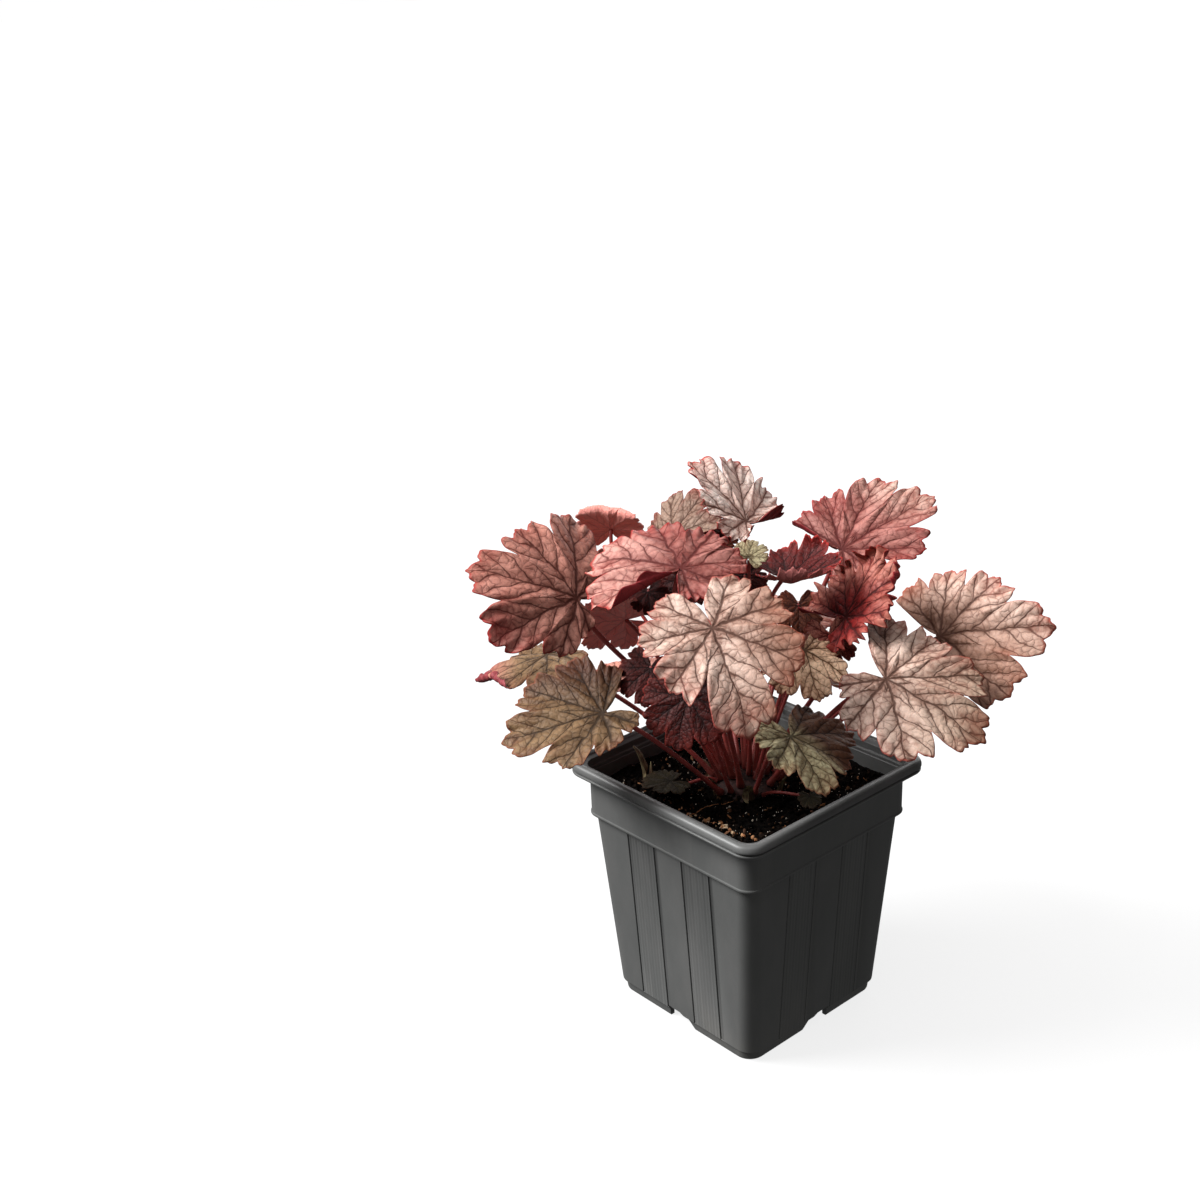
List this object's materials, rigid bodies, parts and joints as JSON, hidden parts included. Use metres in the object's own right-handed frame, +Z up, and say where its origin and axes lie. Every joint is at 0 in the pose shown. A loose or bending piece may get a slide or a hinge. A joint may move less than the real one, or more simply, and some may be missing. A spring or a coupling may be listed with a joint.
{
  "type": "heuchera plant in a square nursery pot",
  "caption": "Potted coral-bells plant: lobed, toothed leaves with dark net veins on slender stalks, rising from a woody crown in a square fluted nursery pot full of soil.",
  "frame": {"origin": "on the resting plane, on the pot's own vertical axis, which is also the middle of the foliage's spread", "axes": "+Z up, +X and +Y square to the pot's sides; the side that the picture shows is seen from +X -Y, so the pot's near corner is at +X -Y"},
  "size_m": [0.2151, 0.214, 0.242],
  "materials": {
    "pot_plastic": "dark grey moulded plastic, satin",
    "potting_mix": "near-black crumbly potting mix with white perlite and bark, matte",
    "crown_bark": "dark brown-red scaly bark, matte",
    "petiole": "dark red stalk with fine pale hairs, satin",
    "leaf_rose": "dusty rose leaf with a net of dark red veins, satin",
    "leaf_pink": "bright pink leaf with red edges and a net of brown-red veins, satin",
    "leaf_cream": "pale pink-cream leaf with a net of dark brown veins and pink edges, satin",
    "leaf_tan": "pinkish tan leaf with a net of brown veins, satin",
    "leaf_red": "deep red leaf, paler at its edge, with dark veins, satin",
    "leaf_olive": "olive-tan leaf with green-brown veins, satin",
    "leaf_dark": "dark red leaf, magenta below, satin",
    "leaf_green": "grey-green leaf with tan edges, satin",
    "leaf_taupe": "taupe leaf with dark red tips, satin",
    "leaf_brown": "orange-brown young leaf, satin"
  },
  "bodies": {
    "root": {"pot": "pot_plastic", "soil": "potting_mix", "crown": "crown_bark", "leaf_01_blade": "leaf_rose", "leaf_01_petiole": "petiole", "leaf_02_blade": "leaf_pink", "leaf_02_petiole": "petiole", "leaf_03_blade": "leaf_cream", "leaf_03_petiole": "petiole", "leaf_04_blade": "leaf_cream", "leaf_04_petiole": "petiole", "leaf_05_blade": "leaf_tan", "leaf_05_petiole": "petiole", "leaf_06_blade": "leaf_pink", "leaf_06_petiole": "petiole", "leaf_07_blade": "leaf_tan", "leaf_07_petiole": "petiole", "leaf_08_blade": "leaf_red", "leaf_08_petiole": "petiole", "leaf_09_blade": "leaf_olive", "leaf_09_petiole": "petiole", "leaf_10_blade": "leaf_olive", "leaf_10_petiole": "petiole", "leaf_11": "leaf_dark", "leaf_12": "leaf_dark", "leaf_13_blade": "leaf_green", "leaf_13_petiole": "petiole", "leaf_14_blade": "leaf_olive", "leaf_14_petiole": "petiole", "leaf_15": "leaf_dark", "leaf_16": "leaf_dark", "leaf_17": "leaf_taupe", "leaf_18": "leaf_brown", "leaf_19_blade": "leaf_green", "leaf_19_petiole": "petiole", "leaf_20": "leaf_dark", "leaf_21": "leaf_brown", "leaf_22_blade": "leaf_olive", "leaf_22_petiole": "petiole", "leaf_23_blade": "leaf_olive", "leaf_23_petiole": "petiole", "leaf_24_blade": "leaf_rose", "leaf_24_petiole": "petiole", "leaf_25_blade": "leaf_tan", "leaf_25_petiole": "petiole", "leaf_26_blade": "leaf_rose", "leaf_26_petiole": "petiole", "leaf_27_blade": "leaf_tan", "leaf_27_petiole": "petiole", "leaf_28_blade": "leaf_olive", "leaf_28_petiole": "petiole"}
  },
  "joints": []
}
